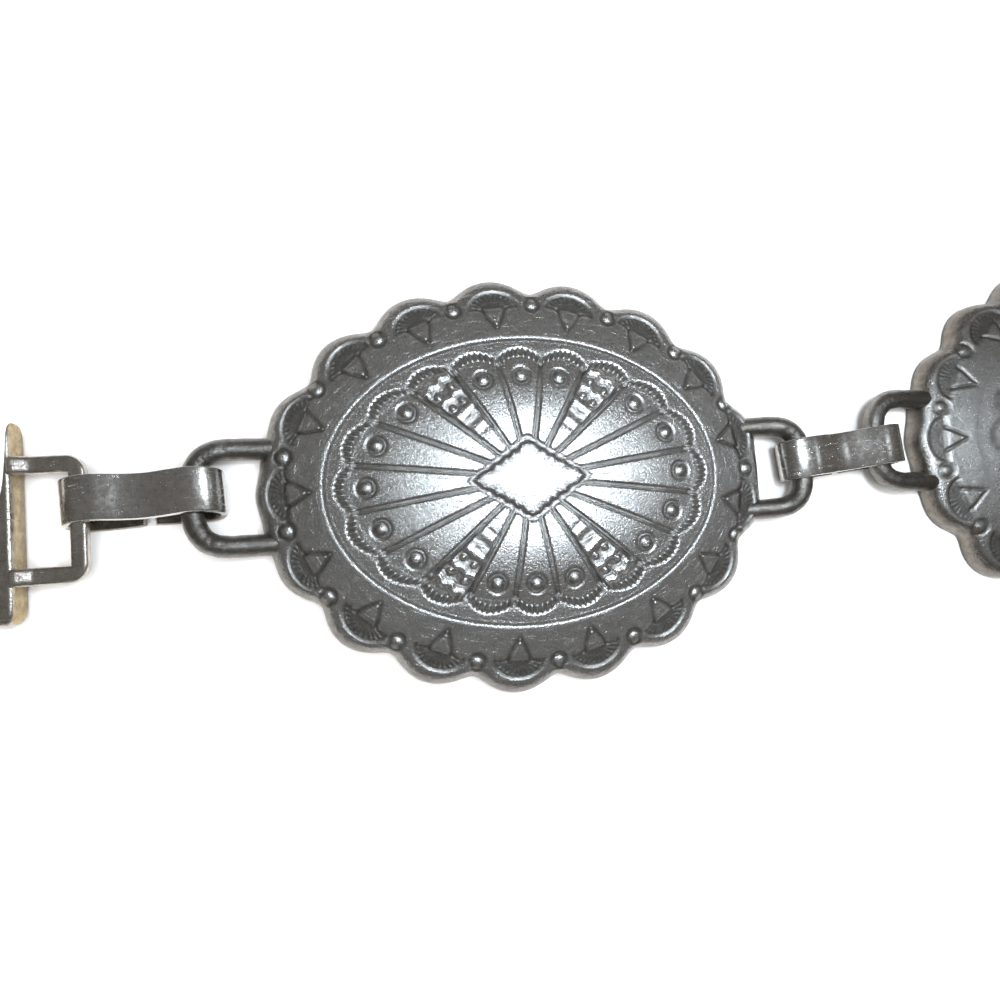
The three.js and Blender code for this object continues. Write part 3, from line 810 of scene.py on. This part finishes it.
def plate_part():
    """Crossbar, shank and hook in one sweep: a rounded section that shrinks from the tall crossbar to
    the shank and is carried up, over and back below itself."""
    radius = (HOOK_GAPE + HOOK_THICK) / 2
    low = HOOK_THICK / 2
    top = BAR_HEIGHT + SQUARE_THICK / 2
    turn_x = -(PLATE_REACH + HOOK_SHANK)
    bend = np.radians(np.linspace(90, 270, 9))
    knots = np.concatenate(
        [
            [[0.0, top / 2], [-1.1, top / 2], [-2.4, top / 2]],
            [[-4.0, top - low - 0.2], [-5.6, top - low + 0.2]],
            [[turn_x + 2.4, low + 2 * radius - 0.25]],
            pair(turn_x + radius * np.cos(bend), low + radius * (1 + np.sin(bend))),
            [[turn_x + HOOK_TIP * 0.5, low], [turn_x + HOOK_TIP - 0.1, low]],
        ]
    )
    line = curve_through(knots, 170, 1.5)
    path = pair(line[:, 0], np.zeros(len(line)), line[:, 1])
    ahead = heading(path)
    front = np.arange(len(line)) < np.argmin(line[:, 0])
    behind = -line[:, 0]
    upper = plate_half(behind, 0.15, 0.15, 26) + 0.45 * smooth(0.6, 0.2, behind)
    upper = np.where(front, upper, HOOK_WIDTH / 2)
    lower = np.where(front, plate_half(behind, 2.0, 0.8, 2), HOOK_WIDTH / 2)
    thick = np.interp(behind, [0, 2.2, 5.5], [top - 0.05, top - 0.1, HOOK_THICK])
    thick = np.where(front, thick, HOOK_THICK)
    run = join([0], np.cumsum(np.linalg.norm(np.diff(line, axis=0), axis=-1)))
    blunt = np.sqrt(np.clip(1 - (1 - np.clip((run[-1] - run) / 0.9, 0, 1)) ** 2, 0, 1))
    ease = 1 - 0.1 * (1 - np.clip(run / 0.35, 0, 1)) ** 2
    upper, lower = upper * (0.45 + 0.55 * blunt), lower * (0.45 + 0.55 * blunt)
    thick = thick * (0.35 + 0.65 * blunt) * ease
    side = np.sin(np.linspace(-np.pi / 2, np.pi / 2, 43))
    over = (1 - np.abs(side) ** 22) ** 0.5
    section = join(pair(side, over), pair(side[::-1], -over)[1:-1])
    aside = np.broadcast_to([0.0, 1.0, 0.0], path.shape)
    upward = np.cross(aside, -ahead)
    flat_top = smooth(4.5, 1.6, -path[:, 0]) * front
    upward = upward * (1 - flat_top[:, None]) + np.array([0.0, 0.0, -1.0]) * flat_top[:, None]
    half = np.where(section[None, :, 0] > 0, upper[:, None], lower[:, None])
    ring = (section[None, :, 0] * half)[..., None] * aside[:, None, :]
    ring = ring + section[None, :, 1, None] * upward[:, None, :] * thick[:, None, None] / 2
    points = path[:, None, :] + ring
    points[..., 2] += 0.02 * uneven(points[..., :2], 31, 2.4) * (points[..., 2] > 1)
    quads, triangles = grid_faces(len(path), len(section), caps=True)
    points = join(points.reshape(-1, 3), path[:1], path[-1:])
    points[:, 2] = np.clip(points[:, 2], 0, None)
    points[:, 0] += 0.16 * (1 - points[:, 2] / top) * smooth(-0.4, 0, points[:, 0])
    # A tan painted reflection of wood on the plate's side wall below its top.
    warm = smooth(-0.3, -0.05, points[:, 0]) * smooth(top - 0.08, top - 0.5, points[:, 2])
    return points, quads, triangles, {"patina": 0.15, "warm": warm}


def square_loop_part():
    """The square loop: a band between a round-cornered outer line and a sharp inner one, with a
    rounded section, run from over the plate's edge round the bar and back."""
    corner = np.radians(np.linspace(90, 0, 17))
    outer_arc = pair(np.cos(corner), np.sin(corner)) * SQUARE_CORNER
    outer_arc = outer_arc + (SQUARE_REACH - SQUARE_CORNER, SQUARE_HALF - SQUARE_CORNER)
    inner_corner = np.array([SQUARE_REACH - SQUARE_BAR, SQUARE_HALF - SQUARE_ARM])
    arm_x = np.array([-0.2, -0.12, -0.05, 0.0, 0.06, 0.14, 0.5, 1.0, 1.4, 1.56, 1.64, 1.8, 2.6, 4.0])
    level_x = [-0.2, -0.05, 0.0, 0.06, 0.14, 1.56, 1.8]
    level = np.interp(arm_x, level_x, [-0.1, 0.1, 0.3, 0.4, 0.42, -0.22, -0.28])
    count = len(arm_x)
    outer = join(pair(arm_x, np.full(count, SQUARE_HALF)), outer_arc)
    inner = join(pair(arm_x, np.full(count, inner_corner[1])), np.tile(inner_corner, (17, 1)))
    bar_y = np.array([2.6, 1.7, 0.8, 0.2])
    outer = join(outer, pair(np.full(4, SQUARE_REACH), bar_y))
    inner = join(inner, pair(np.full(4, inner_corner[0]), bar_y))
    level = join(level, np.full(len(outer) - count, -0.28))
    outer = join(outer, outer[::-1] * (1, -1)) + (0, SQUARE_RISE + 0.15)
    inner = join(inner, inner[::-1] * (1, -1)) + (0, SQUARE_RISE + 0.15)
    level = join(level, level[::-1])
    turns = TAU * (np.arange(36) + 0.5) / 36
    power = 0.5
    across = np.sign(np.cos(turns)) * np.abs(np.cos(turns)) ** power
    up = np.sign(np.sin(turns)) * np.abs(np.sin(turns)) ** power
    middle = (outer + inner) / 2
    half = (outer - inner) / 2
    plan = middle[:, None, :] + across[None, :, None] * half[:, None, :]
    z = BAR_HEIGHT + up[None, :] * SQUARE_THICK / 2 + level[:, None] * ramp(-0.2, 0.3, up[None, :])
    z = z + 0.015 * uneven(plan, 33, 1.7)
    points = raised(plan, z)
    quads, triangles = grid_faces(len(points), len(turns), caps=True)
    ends = np.array([[-0.22, middle[0, 1], BAR_HEIGHT], [-0.22, middle[-1, 1], BAR_HEIGHT]])
    points = join(points.reshape(-1, 3), ends)
    # Painted shade and a painted brown reflection on the loop's underside.
    under = smooth(0.1, -0.6, (points[:, 2] - BAR_HEIGHT) / SQUARE_THICK * 2)
    patina = 0.12 + 0.3 * under
    return points, quads[:, ::-1], triangles[:, ::-1], {"patina": patina, "warm": 0.55 * under}


# Materials.


def linear(value):
    """An sRGB hex colour as linear RGBA."""
    channels = [int(value[i : i + 2], 16) / 255 for i in (1, 3, 5)]
    return tuple(c / 12.92 if c <= 0.04045 else ((c + 0.055) / 1.055) ** 2.4 for c in channels) + (1.0,)


def add_node(tree, kind, output=None, settings=()):
    """Adds a node and gives one of its outputs. A setting is a property of the node, or a value
    for one of its sockets, or another node's output that is linked to the socket."""
    node = tree.nodes.new("ShaderNode" + kind)
    for key, value in dict(settings).items():
        if hasattr(value, "is_output"):
            tree.links.new(value, node.inputs[key])
        elif isinstance(key, str) and hasattr(node, key):
            setattr(node, key, value)
        else:
            node.inputs[key].default_value = value
    return None if output is None else node.outputs[output]


def aged_and_shaded_metal(name, bright, dark, warm, grain, pitted, scratch, rough):
    """A metal with dulled recesses and painted shade. Noise in object space gives its grain in millimetres,
    stretched noise on its own map gives scratches, one attribute dulls recesses and paints shade on
    undersides, and the other paints a brown reflection and shade on sides that face down."""
    material = bpy.data.materials.new(name)
    material.use_nodes = True
    tree = material.node_tree
    tree.nodes.clear()

    place = add_node(tree, "TexCoord", "Object")
    surface = add_node(tree, "UVMap", "UV", {"uv_map": "Surface"})
    patina = add_node(tree, "Attribute", "Fac", {"attribute_name": "patina"})
    painted_brown = add_node(tree, "Attribute", "Fac", {"attribute_name": "warm"})
    turned = {"Scale": (0.35, 6.0, 1.0), "Rotation": (0, 0, 0.12), "Vector": surface}
    stretched = add_node(tree, "Mapping", "Vector", turned)

    # Each noise's scale to the metre, detail and roughness, and what it is read on.
    columns = ("Scale", "Detail", "Roughness", "Vector")
    noises = (
        (260.0, 4.0, 0.6, place),
        (1500.0, 4.0, 0.65, place),
        (0.45 / (grain * MM), 2.0, 0.6, place),
        (1 / (grain * MM), 3.0, 0.7, place),
        (9.0, 6.0, 0.75, stretched),
    )
    cloud, mottle, coarse, fine, lines = (
        add_node(tree, "TexNoise", "Fac", dict(zip(columns, row))) for row in noises
    )
    # Each layer's noise, the stretch of it that counts, and the layer's amounts at its two ends.
    columns = ("Value", "From Min", "From Max", "To Min", "To Max")
    layers = (
        (cloud, 0.3, 0.7, -0.12, 0.12),
        (mottle, 0.3, 0.7, -0.22, 0.22),
        (fine, 0.38, 0.68, 0.14, -0.14),
        (lines, 0.58, 0.72, 0.0, -0.3),
        (coarse, 0.0, 1.0, 0.0, 1.4),
        (lines, 0.58, 0.72, 0.0, -scratch),
        (coarse, 0.3, 0.7, -0.05, 0.05),
        (mottle, 0.38, 0.62, 0.0, 1.0),
    )
    clouding, mottling, specks, bared, pebbles, cuts, dulling, blotches = (
        add_node(tree, "MapRange", "Result", dict(zip(columns, row))) for row in layers
    )
    # depth holds the patina in recesses, the painted shade on undersides and the noises.
    depth, relief = patina, fine
    for layer in (clouding, mottling, specks, bared):
        depth = add_node(tree, "Math", 0, {"operation": "ADD", 0: depth, 1: layer})
    for layer in (pebbles, cuts):
        relief = add_node(tree, "Math", 0, {"operation": "ADD", 0: relief, 1: layer})
    # A mottled brown, mixed in by the second attribute: a painted reflection and painted shade, and on the
    # loops their brownish tone.
    darker_brown = tuple(0.62 * c for c in linear(warm)[:3]) + (1.0,)
    tone = add_node(tree, "Mix", 2, {"data_type": "RGBA", 0: depth, 6: linear(bright), 7: linear(dark)})
    mottled_brown = add_node(tree, "Mix", 2, {"data_type": "RGBA", 0: blotches, 6: linear(warm), 7: darker_brown})
    brown = add_node(tree, "Mix", 2, {"data_type": "RGBA", 0: painted_brown, 6: tone, 7: mottled_brown})
    polish = add_node(tree, "MapRange", "Result", {"Value": depth, "To Min": rough, "To Max": rough + 0.14})
    gloss = add_node(tree, "Math", 0, {"operation": "ADD", 0: polish, 1: dulling})
    bent = {"Strength": 1.0, "Distance": grain * MM * pitted, "Height": relief}
    pits = add_node(tree, "Bump", "Normal", bent)
    finish = {"Metallic": 1.0, "Base Color": brown, "Roughness": gloss, "Normal": pits}
    metal = add_node(tree, "BsdfPrincipled", "BSDF", finish)
    add_node(tree, "OutputMaterial", settings={"Surface": metal})
    return material


def metals(colours):
    """The belt's three metals, made once."""
    names = ("cast_zinc_silver_plated_antiqued", "rolled_strip_polished", "cast_plate_polished")
    if names[0] in bpy.data.materials:
        return [bpy.data.materials[name] for name in names]
    shades = (colours.bright, colours.dark, colours.worn)
    bright, dark, worn = ("#" + "".join(f"{round(c * 255):02x}" for c in shade) for shade in shades)
    # Cast zinc alloy, silver plated, dulled and rubbed back: greyish highs with a white sparkle
    # from a grain of about 0.1 mm, and lows that stay dull rather than black.
    cast = aged_and_shaded_metal(names[0], bright, dark, worn, 0.1, 0.28, 0.5, 0.27)
    # Rolled steel strip, nickel plated: even, glossier, with fine scratches along it.
    strip = aged_and_shaded_metal(names[1], "#d2d0cd", "#77726a", worn, 0.2, 0.025, 6.0, 0.22)
    # Cast hook plate with the same plating; the tan on its wall is a painted reflection of wood.
    plate = aged_and_shaded_metal(names[2], "#cbc5bd", "#6f6a63", "#b5a07a", 0.2, 0.1, 1.5, 0.3)
    return cast, strip, plate


def belt(context):
    """The belt's sizes, loops and metals, and its places: plate, links and conchos."""
    scene = context.scene
    sizes, loops = scene.belt_concho, scene.belt_loops
    return sizes, loops, metals(scene.belt_colours), walk(sizes, loops)


class BELT_OT_conchos(bpy.types.Operator):
    """Build every concho with its two loops"""

    bl_idname = "belt.conchos"
    bl_label = "Conchos"

    def execute(self, context):
        sizes, loops, (cast, _, _), (_, _, places) = belt(context)
        plain = whole_part(sizes, sizes.plain_around, 22, 18)
        border = border_part(sizes, sizes.fine_around, 58, 1.0)
        first = [("field", field_disc(800, 76, 0.7, 1.0)), ("fringe", field_ring(1300, 54, 0.7, 1.0))]
        second = [("field", field_disc(360, 48, 1.0, 0.6)), ("border", border_part(sizes, 1000, 40, 1.0))]
        near = {0: [*first, ("border", border)], 1: second}
        for index, (name, (centre, yaw)) in enumerate(zip(CONCHOS, places)):
            steps = (28, 110) if index < 2 else (14, 34)
            arms = [loop_part(sizes, loops, side, *steps) for side in (-1, 1)]
            for label, body in near.get(index, [("body", plain)]):
                parts = [body] if label in ("field", "fringe") else [body, *arms]
                parts = [(placed(p[0], centre, yaw), *p[1:]) for p in parts]
                make_piece(f"{name}_{label}", parts, cast, name)
        return {"FINISHED"}


# The first two links are bent, so their backs lean and they lie a little off their middle lines:
# lean of the back, shift in millimetres and turn in degrees.
ASKEW = {0: (0.25, (0.35, 0.4), 0.8), 1: (0.05, (0.4, 0.1), 0.0)}


class BELT_OT_links(bpy.types.Operator):
    """Build the strip links between the conchos"""

    bl_idname = "belt.links"
    bl_label = "Links"

    def execute(self, context):
        _, loops, (_, strip, _), (_, places, _) = belt(context)
        for index, (name, (centre, yaw, roll)) in enumerate(zip(LINKS, places)):
            lean, shift, skew = ASKEW.get(index, (0.0, (0, 0), 0.0))
            points, quads, triangles, extra = link_part(loops, 20 + index, lean)
            points = rolled_about_length(points, roll)
            parts = [(placed(points, centre + shift, yaw + skew, BAR_HEIGHT), quads, triangles, extra)]
            make_piece(f"{name}_strip", parts, strip, name)
        return {"FINISHED"}


class BELT_OT_hook_plate(bpy.types.Operator):
    """Build the hook plate with its square loop"""

    bl_idname = "belt.hook_plate"
    bl_label = "Hook Plate"

    def execute(self, context):
        _, _, (_, _, metal), (plate, _, _) = belt(context)
        parts = [(placed(p[0], plate, 0), *p[1:]) for p in (plate_part(), square_loop_part())]
        make_piece("hook_plate_body", parts, metal, "hook_plate")
        return {"FINISHED"}


# The camera over the near concho: where it is from the concho's centre and where it looks, as
# the turn of its upper edge in degrees and its lens's length over the sensor's width.
CAMERA_AT = (-15.49, -6.71, 75.92)
CAMERA_LOOK = (0.1728, 0.0669, -0.9827)
CAMERA_TURN = 4.244
CAMERA_LENS = 0.7744
SENSOR = 36.0
FLOOR_HALF = 2.5
FLOOR_LEVEL = -0.0002
# A small lamp over the near concho, and a faint one that the next link and loop reflect: their
# width in millimetres, power in watts and place from the near concho's centre in millimetres.
LAMPS = (
    ("near_lamp", 14.0, 0.04, (15.5, 6.7, 77.0)),
    ("far_lamp", 30.0, 0.003, (92.0, 9.5, 76.0)),
)


class BELT_OT_stage(bpy.types.Operator):
    """Set the pale floor, the soft light and the camera"""

    bl_idname = "belt.stage"
    bl_label = "Stage"

    def execute(self, context):
        scene = context.scene
        _, _, _, (_, _, places) = belt(context)
        centre = np.array([*places[0][0], 0.0])

        mesh = bpy.data.meshes.new("floor")
        signs = ((-1, -1), (1, -1), (1, 1), (-1, 1))
        corners = [(x * FLOOR_HALF, y * FLOOR_HALF, FLOOR_LEVEL) for x, y in signs]
        mesh.from_pydata(corners, [], [(0, 1, 2, 3)])
        floor = bpy.data.objects.new("floor", mesh)
        scene.collection.objects.link(floor)
        paper = bpy.data.materials.new("pale_matte_paper")
        paper.use_nodes = True
        shader = paper.node_tree.nodes["Principled BSDF"]
        shader.inputs["Base Color"].default_value = linear("#fafafa")
        shader.inputs["Roughness"].default_value = 0.9
        shader.inputs["Specular IOR Level"].default_value = 0.1
        mesh.materials.append(paper)

        # A dim room, lighter overhead than at its sides.
        world = bpy.data.worlds.new("dim_room")
        world.use_nodes = True
        tree = world.node_tree
        facing = add_node(tree, "TexCoord", "Generated")
        height = add_node(tree, "SeparateXYZ", "Z", {"Vector": facing})
        lift = add_node(tree, "MapRange", "Result", {"Value": height, "From Min": 0.2, "From Max": 0.9})
        shades = {"data_type": "RGBA", 0: lift, 6: linear("#5e5851"), 7: linear("#7d7c7a")}
        room = add_node(tree, "Mix", 2, shades)
        tree.links.new(room, tree.nodes["Background"].inputs["Color"])
        scene.world = world

        # A broad soft key straight overhead lights the floor, and the metal reflects only the lamps.
        key = bpy.data.lights.new("soft_key", "SUN")
        key.energy = 3.6
        key.angle = math.radians(60)
        overhead = bpy.data.objects.new("soft_key", key)
        overhead.visible_glossy = False
        scene.collection.objects.link(overhead)
        for name, across, power, aim in LAMPS:
            lamp = bpy.data.lights.new(name, "AREA")
            lamp.shape = "DISK"
            lamp.size = across * MM
            lamp.energy = power
            lamp.color = (0.84, 0.93, 1.0)
            disk = bpy.data.objects.new(name, lamp)
            disk.location = Vector((centre + aim) * MM)
            disk.visible_camera = False
            scene.collection.objects.link(disk)

        camera = bpy.data.cameras.new("camera")
        camera.sensor_fit = "HORIZONTAL"
        camera.sensor_width = SENSOR
        camera.lens = SENSOR * CAMERA_LENS
        camera.clip_start = 0.001
        eye = bpy.data.objects.new("camera", camera)
        forward = Vector(CAMERA_LOOK).normalized()
        lean = math.radians(CAMERA_TURN)
        right = forward.cross(Vector((math.sin(lean), math.cos(lean), 0))).normalized()
        upward = right.cross(forward)
        basis = Matrix((right, upward, -forward)).transposed().to_4x4()
        spot = (centre + CAMERA_AT) * MM
        eye.matrix_world = Matrix.Translation(Vector(spot)) @ basis
        scene.collection.objects.link(eye)
        scene.camera = eye
        scene.view_settings.view_transform = "Standard"
        return {"FINISHED"}


class BELT_PT_sidebar(bpy.types.Panel):
    """Lists the belt's pieces and sizes."""

    bl_idname = "BELT_PT_sidebar"
    bl_label = "Concho Belt"
    bl_space_type = "VIEW_3D"
    bl_region_type = "UI"
    bl_category = "Concho Belt"

    def draw(self, context):
        layout = self.layout
        for name, group in GROUPS.items():
            column = layout.column(align=True)
            for key in group.__annotations__:
                column.prop(getattr(context.scene, name), key)
        for operator in OPERATORS:
            layout.operator(operator.bl_idname)


OPERATORS = (BELT_OT_conchos, BELT_OT_links, BELT_OT_hook_plate, BELT_OT_stage)
GROUPS = {"belt_concho": ConchoSizes, "belt_loops": LoopSizes, "belt_colours": MetalColours}
CLASSES = (*GROUPS.values(), *OPERATORS, BELT_PT_sidebar)


def register():
    for item in CLASSES:
        bpy.utils.register_class(item)
    for key, group in GROUPS.items():
        setattr(bpy.types.Scene, key, PointerProperty(type=group))


def unregister():
    for key in GROUPS:
        delattr(bpy.types.Scene, key)
    for item in reversed(CLASSES):
        bpy.utils.unregister_class(item)


def main():
    """Registers the add-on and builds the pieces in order."""
    register()
    bpy.ops.belt.conchos()
    bpy.ops.belt.links()
    bpy.ops.belt.hook_plate()
    bpy.ops.belt.stage()


if __name__ == "__main__":
    main()
